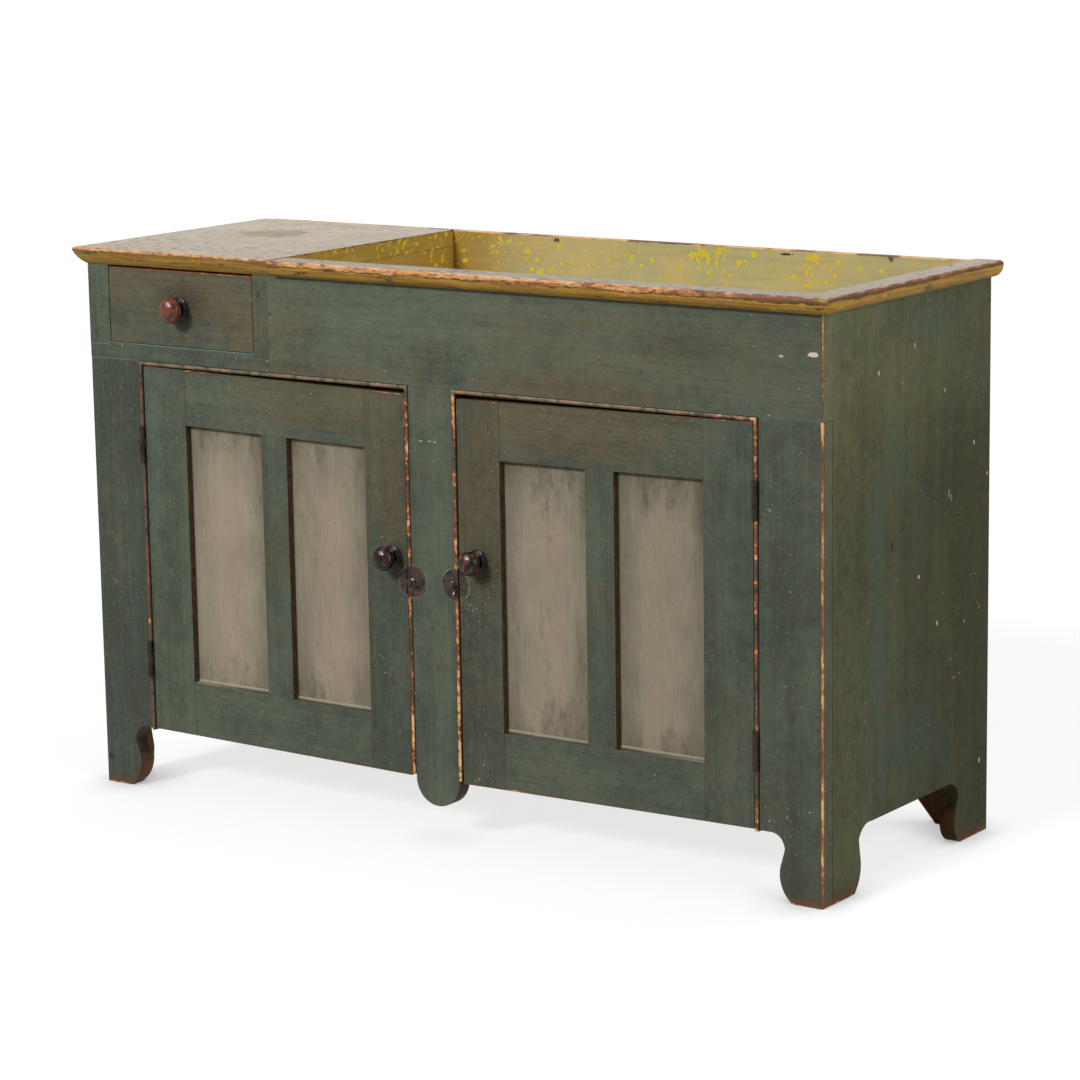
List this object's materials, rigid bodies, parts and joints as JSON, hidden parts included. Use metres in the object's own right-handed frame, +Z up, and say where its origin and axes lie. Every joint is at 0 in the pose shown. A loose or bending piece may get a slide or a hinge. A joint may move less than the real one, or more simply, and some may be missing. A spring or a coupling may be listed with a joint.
{
  "type": "dry sink cabinet",
  "caption": "Low cupboard with an open well inside a moulded rim, a work slab over a drawer, and two panelled doors, on sawn bracket feet.",
  "frame": {"origin": "bottom centre of the whole cabinet, on the floor, midway between its ends and between the knobs and the back", "axes": "+Z up, the doors face -Y, +X to the right as seen from the front"},
  "size_m": [1.305, 0.5, 0.825],
  "materials": {
    "green_paint": "old blue-green paint on pine, worn to the wood on edges",
    "panel_paint": "worn grey-beige panels with dark smudges",
    "top_wood": "weathered grey-brown top with a mustard nosing",
    "well_paint": "olive and mustard paint, chipped",
    "bare_pine": "old unpainted pine",
    "knob_wood": "dark red-brown worn finish",
    "iron": "brown iron, worn paler on the rims"
  },
  "bodies": {
    "case": {"apron_board": "green_paint", "back_board_1": "bare_pine", "back_board_2": "bare_pine", "back_board_3": "bare_pine", "back_board_4": "bare_pine", "bottom_board": "bare_pine", "drawer_divider": "green_paint", "drawer_rail": "green_paint", "drawer_runners": "bare_pine", "end_left": "green_paint", "end_right": "green_paint", "foot_blocks": "bare_pine", "hinge_leaves_case": "iron", "hinge_pins": "iron", "latch_plate_left": "iron", "latch_plate_right": "iron", "opening_beads": "green_paint", "rim_front": "top_wood", "rim_right": "top_wood", "shelf": "bare_pine", "stile_center": "green_paint", "stile_left": "green_paint", "stile_right": "green_paint", "stile_upper_left": "green_paint", "top_slab": "top_wood", "well_back": "well_paint", "well_cleats": "bare_pine", "well_floor": "well_paint", "well_side_left": "well_paint"},
    "left_door": {"door_left_bottom_rail": "green_paint", "door_left_hinge_stile": "green_paint", "door_left_knob": "knob_wood", "door_left_lock_stile": "green_paint", "door_left_muntin": "green_paint", "door_left_panel_inner": "panel_paint", "door_left_panel_outer": "panel_paint", "door_left_top_rail": "green_paint", "hinge_leaves_door_left": "iron", "latch_keeper_left": "iron"},
    "right_door": {"door_right_bottom_rail": "green_paint", "door_right_hinge_stile": "green_paint", "door_right_knob": "knob_wood", "door_right_lock_stile": "green_paint", "door_right_muntin": "green_paint", "door_right_panel_inner": "panel_paint", "door_right_panel_outer": "panel_paint", "door_right_top_rail": "green_paint", "hinge_leaves_door_right": "iron", "latch_keeper_right": "iron"},
    "drawer": {"drawer_back": "bare_pine", "drawer_bottom": "bare_pine", "drawer_front": "green_paint", "drawer_knob": "knob_wood", "drawer_side_left": "bare_pine", "drawer_side_right": "bare_pine"},
    "left_latch_lever": {"latch_lever_left": "iron"},
    "right_latch_lever": {"latch_lever_right": "iron"}
  },
  "joints": [
    {"name": "left_door_hinge", "type": "hinge", "parent": "case", "child": "left_door", "pos_m": [-0.53825, -0.2188, 0.374], "axis": [0, 0, -1], "range_deg": [0, 170]},
    {"name": "right_door_hinge", "type": "hinge", "parent": "case", "child": "right_door", "pos_m": [0.53125, -0.2188, 0.374], "axis": [0, 0, 1], "range_deg": [0, 170]},
    {"name": "drawer_slide", "type": "slide", "parent": "case", "child": "drawer", "axis": [0, -1, 0], "range_m": [0, 0.3]},
    {"name": "left_latch_turn", "type": "hinge", "parent": "case", "child": "left_latch_lever", "pos_m": [-0.041, -0.219, 0.377], "axis": [0, 1, 0], "range_deg": [-100, 145]},
    {"name": "right_latch_turn", "type": "hinge", "parent": "case", "child": "right_latch_lever", "pos_m": [0.0315, -0.219, 0.38], "axis": [0, -1, 0], "range_deg": [-110, 66]}
  ]
}
